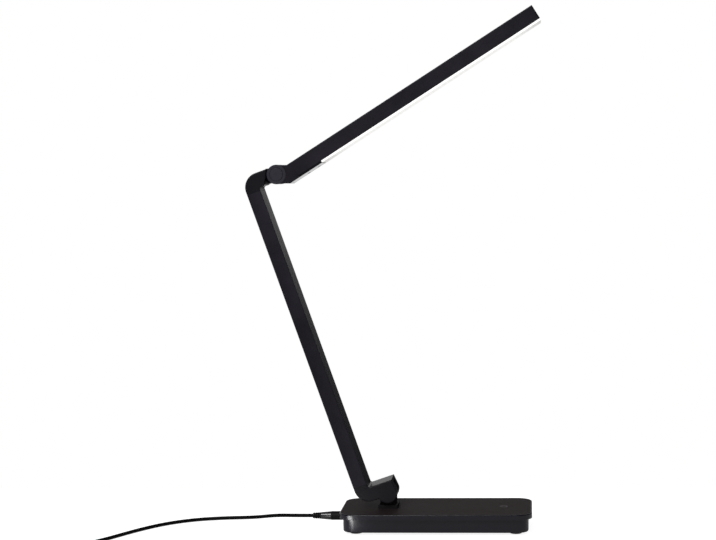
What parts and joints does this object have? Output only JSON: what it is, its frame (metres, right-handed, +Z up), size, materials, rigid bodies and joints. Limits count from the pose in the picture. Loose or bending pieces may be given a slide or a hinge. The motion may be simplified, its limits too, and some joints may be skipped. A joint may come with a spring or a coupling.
{
  "type": "led table lamp",
  "caption": "Folding LED table lamp: a weighted base with touch control, a leaning arm on a friction hinge, a tilting light bar with a flush diffuser, and a low-voltage lead with a power plug.",
  "frame": {"origin": "on the table plane under the middle of the base", "axes": "+Z up, +X along the base towards the side that the bar lights, +Y across the base away from the viewer"},
  "size_m": [0.4773, 0.2204, 0.5146],
  "materials": {
    "base_shell": "fine matt moulding",
    "elbow_plastic": "satin moulding",
    "bar_metal": "black satin anodised",
    "pad_rubber": "matt",
    "ballast": "raw",
    "steel": "zinc plated",
    "brass": "plain",
    "board": "solder mask",
    "led_board": "white solder mask",
    "component": "moulded",
    "washer": "smooth nylon",
    "wire": "smooth",
    "opal": "opal",
    "led": "phosphor",
    "lead": "matt",
    "plug_metal": "bright"
  },
  "bodies": {
    "base": {"base_cover": "base_shell", "base_tray": "base_shell", "foot_pads": "pad_rubber", "base_screws": "steel", "base_weight": "ballast", "control_board": "board", "driver_chip": "component", "inductor": "component", "touch_plate": "brass", "touch_pillar": "pad_rubber", "board_screws": "steel", "dc_socket": "component", "plug_barrel": "plug_metal", "plug_grip": "lead", "plug_boot": "lead", "hinge_pedestal": "elbow_plastic", "backing_plate": "steel", "pedestal_screws": "steel", "supply_wire": "wire", "base_wire": "wire", "lower_friction_washers": "washer", "lead_run": "lead", "lead_coil": "lead", "lead_tail": "lead", "coil_tie": "lead", "usb_grip": "lead", "usb_shell": "plug_metal", "usb_insert": "component"},
    "arm": {"lower_elbow": "elbow_plastic", "lower_hinge_bolt": "steel", "lower_hinge_nut": "steel", "lower_spring_washer": "steel", "lower_hinge_cap": "elbow_plastic", "arm_tube": "bar_metal", "upper_elbow": "elbow_plastic", "upper_friction_washers": "washer", "arm_wire": "wire"},
    "head": {"head_knuckle": "elbow_plastic", "upper_hinge_bolt": "steel", "upper_hinge_nut": "steel", "upper_spring_washer": "steel", "upper_hinge_caps": "elbow_plastic", "head_housing": "bar_metal", "head_screws": "steel", "head_tip_cap": "elbow_plastic", "led_board": "led_board", "led_chips": "led", "diffuser": "opal", "head_wire": "wire"}
  },
  "joints": [
    {"name": "arm_tilt", "type": "hinge", "parent": "base", "child": "arm", "pos_m": [-0.0481, 0, 0.0367], "axis": [0, 1, 0], "range_deg": [-10, 108.7]},
    {"name": "head_tilt", "type": "hinge", "parent": "arm", "child": "head", "pos_m": [-0.15158, 0, 0.35645], "axis": [0, 1, 0], "range_deg": [-75, 102.75]}
  ]
}
